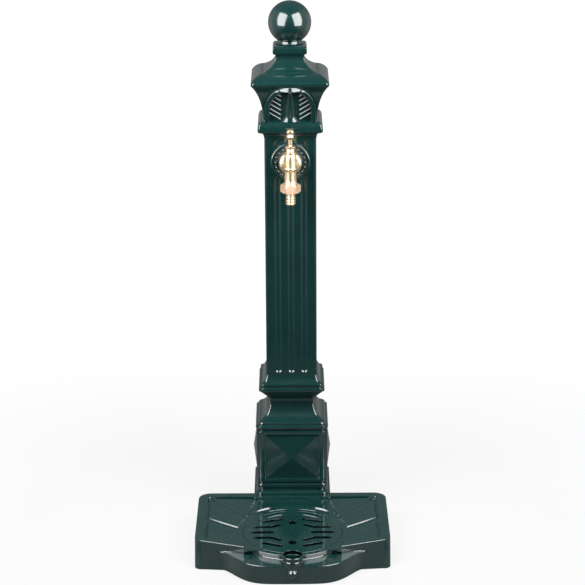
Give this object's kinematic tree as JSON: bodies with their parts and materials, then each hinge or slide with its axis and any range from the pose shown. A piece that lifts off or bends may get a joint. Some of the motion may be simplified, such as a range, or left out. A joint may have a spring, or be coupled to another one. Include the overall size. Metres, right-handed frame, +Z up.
{
  "type": "garden standpipe",
  "caption": "Cast post with a square fluted column, ball finial and brass hose tap over a low drained tray with a lift-out round grate and a front ground-anchor socket.",
  "frame": {"origin": "On the ground under the middle of the footprint, in the plane of symmetry.", "axes": "+Z up, -Y the front with the tap and the tray, +X to the right seen from the front."},
  "size_m": [0.339, 0.4029, 0.941],
  "materials": {
    "paint": "deep blue-green gloss stove enamel on cast metal",
    "brass": "polished pale gold brass",
    "steel": "zinc plated steel",
    "rubber": "black rubber",
    "fibre": "red-brown sealing fibre"
  },
  "bodies": {
    "post": {"basin": "paint", "pedestal": "paint", "pedestal_bolts": "steel", "column": "paint", "capital": "paint", "finial": "paint", "tie_rod": "steel", "tie_rod_washer": "steel", "tie_rod_nut": "steel", "rosette": "paint", "riser_pipe": "steel", "elbow": "brass", "inlet_socket": "brass", "tap_body": "brass", "inlet_flange": "brass", "inlet_washer": "fibre", "bonnet": "brass", "bonnet_washer": "fibre", "gland_nut": "brass", "gland_packing": "rubber", "hose_tail": "brass", "hose_washer": "rubber"},
    "handle": {"spindle": "brass", "handle": "brass", "handle_screw": "brass"},
    "valve": {"plunger": "brass", "valve_washer": "rubber"},
    "union": {"union_nut": "brass"},
    "grate": {"grate": "paint"}
  },
  "joints": [
    {"name": "handle_turn", "type": "hinge", "parent": "post", "child": "handle", "pos_m": [0, 0.0425, 0.72], "axis": [0, 0, 1], "range_deg": [0, 540]},
    {"name": "valve_lift", "type": "slide", "parent": "post", "child": "valve", "axis": [0, 0, 1], "range_m": [0, 0.00376]},
    {"name": "union_spin", "type": "hinge", "parent": "post", "child": "union", "pos_m": [0, 0.0425, 0.633], "axis": [0, 0, 1], "continuous": true},
    {"name": "grate_lift", "type": "slide", "parent": "post", "child": "grate", "axis": [0, 0, 1], "range_m": [0, 0.1]}
  ],
  "couplings": [
    {"joint": "valve_lift", "follows": "handle_turn", "m_per_rad": 0.00039789}
  ]
}
